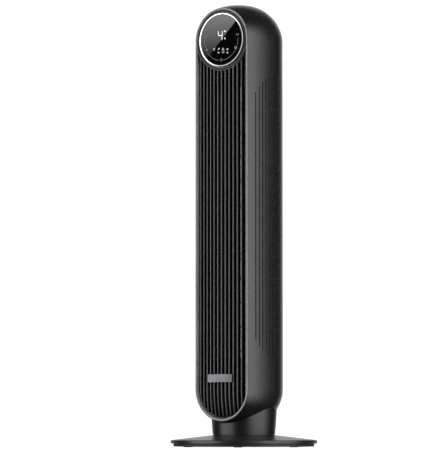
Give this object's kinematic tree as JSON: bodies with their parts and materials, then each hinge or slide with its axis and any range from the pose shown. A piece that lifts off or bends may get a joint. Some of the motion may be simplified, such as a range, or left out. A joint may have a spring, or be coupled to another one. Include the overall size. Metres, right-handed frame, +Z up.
{
  "type": "tower fan",
  "caption": "Oscillating tower fan: tall round-ended head with upright grille bars and a round touch display, on a short neck and a round weighted base.",
  "frame": {"origin": "centre of the base on the floor, on the axis the tower swings about", "axes": "+Z up, the front with the display and the grille looks along -Y, +X is the fan's own left"},
  "size_m": [0.303, 0.303, 0.9154],
  "materials": {
    "shell_plastic": "satin",
    "grille_plastic": "satin",
    "frame_plastic": "satin",
    "base_plastic": "gloss",
    "inner_plastic": "matt",
    "white_plastic": "satin",
    "bright_ring": "brushed",
    "display_glass": "mirror gloss",
    "lamp": "frosted",
    "plate": "brushed",
    "steel": "zinc plated",
    "weight_iron": "rough",
    "lamination": "stacked sheet",
    "aluminium": "cast",
    "copper_wire": "enamelled",
    "bronze": "sintered",
    "rubber": "matt",
    "board": "lacquered",
    "component_dark": "sleeved",
    "transformer_tape": "taped"
  },
  "bodies": {
    "base": {"base_top_cover": "base_plastic", "base_under_cover": "inner_plastic", "base_weight": "weight_iron", "rubber_feet": "rubber", "base_screws": "steel", "cord_gland": "rubber", "spindle": "steel", "clamp_nut": "inner_plastic", "thrust_washer": "white_plastic", "swing_gear": "white_plastic", "spindle_clip": "steel"},
    "tower": {"turntable": "inner_plastic", "tower_pillars": "steel", "neck_shell": "base_plastic", "neck_screws": "steel", "swing_motor": "steel", "swing_motor_screws": "steel", "rear_shell": "shell_plastic", "rear_grille": "shell_plastic", "rear_grille_screws": "steel", "handle_screws": "steel", "shell_screws": "steel", "handle_panel": "shell_plastic", "front_frame": "frame_plastic", "front_grille": "grille_plastic", "nameplate": "plate", "display_housing": "frame_plastic", "display_ring": "bright_ring", "display_glass": "display_glass", "display_board": "board", "display_lamps": "lamp", "touch_springs": "steel", "main_board": "board", "board_capacitor": "component_dark", "board_transformer": "transformer_tape", "board_connectors": "white_plastic", "wire_harness": "rubber", "air_duct": "inner_plastic", "duct_tongue": "inner_plastic", "lower_deck": "inner_plastic", "upper_deck": "inner_plastic", "motor_case": "aluminium", "motor_stator": "lamination", "motor_coils": "copper_wire", "motor_rubbers": "rubber", "motor_screws": "steel", "motor_bushes": "bronze", "bearing_holder": "inner_plastic", "bearing_rubber": "rubber", "bearing_bush": "bronze"},
    "fan_rotor": {"wheel": "inner_plastic", "wheel_hub": "inner_plastic", "wheel_top_pin": "steel", "motor_shaft": "steel", "motor_rotor": "lamination", "hub_screw": "steel"},
    "pinion": {"swing_pinion": "white_plastic"}
  },
  "joints": [
    {"name": "swing", "type": "hinge", "parent": "base", "child": "tower", "pos_m": [0, 0, 0.03], "axis": [0, 0, 1], "range_deg": [-45, 45]},
    {"name": "pinion_spin", "type": "hinge", "parent": "tower", "child": "pinion", "pos_m": [0.032, 0, 0.04], "axis": [0, 0, 1], "range_deg": [-150, 150]},
    {"name": "wheel_spin", "type": "hinge", "parent": "tower", "child": "fan_rotor", "pos_m": [0, 0.01, 0.1], "axis": [0, 0, 1], "continuous": true}
  ],
  "couplings": [
    {"joint": "pinion_spin", "follows": "swing", "ratio": 3.2667}
  ]
}
